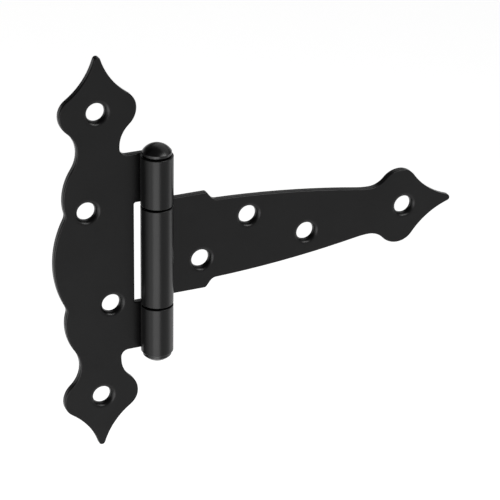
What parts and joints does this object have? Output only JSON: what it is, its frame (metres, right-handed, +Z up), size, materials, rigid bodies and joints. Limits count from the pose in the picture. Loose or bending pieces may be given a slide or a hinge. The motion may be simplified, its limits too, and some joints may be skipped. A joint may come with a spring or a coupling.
{
  "type": "gate hinge",
  "caption": "Ornamental tee hinge for a gate: a tall post plate and a tapering strap with spade-shaped ends, rolled round a riveted pin and drilled for screws.",
  "frame": {"origin": "middle of the post plate's back face, on the plate's centreline and at half its height", "axes": "+X along the strap from the post plate to the strap's tip, +Y out of the back faces into the post and gate, +Z up along the pin"},
  "size_m": [0.1642, 0.0124, 0.16],
  "materials": {
    "post_plate_coat": "satin black powder coat on steel",
    "strap_coat": "satin black powder coat on steel",
    "hinge_pin_coat": "satin black powder coat on steel"
  },
  "bodies": {
    "post_leaf": {"post_plate": "post_plate_coat", "hinge_pin": "hinge_pin_coat"},
    "strap_leaf": {"strap": "strap_coat"}
  },
  "joints": [
    {"name": "strap_swing", "type": "hinge", "parent": "post_leaf", "child": "strap_leaf", "pos_m": [0.02118, -0.00618, 0], "axis": [0, 0, -1], "range_deg": [-100, 180]}
  ]
}
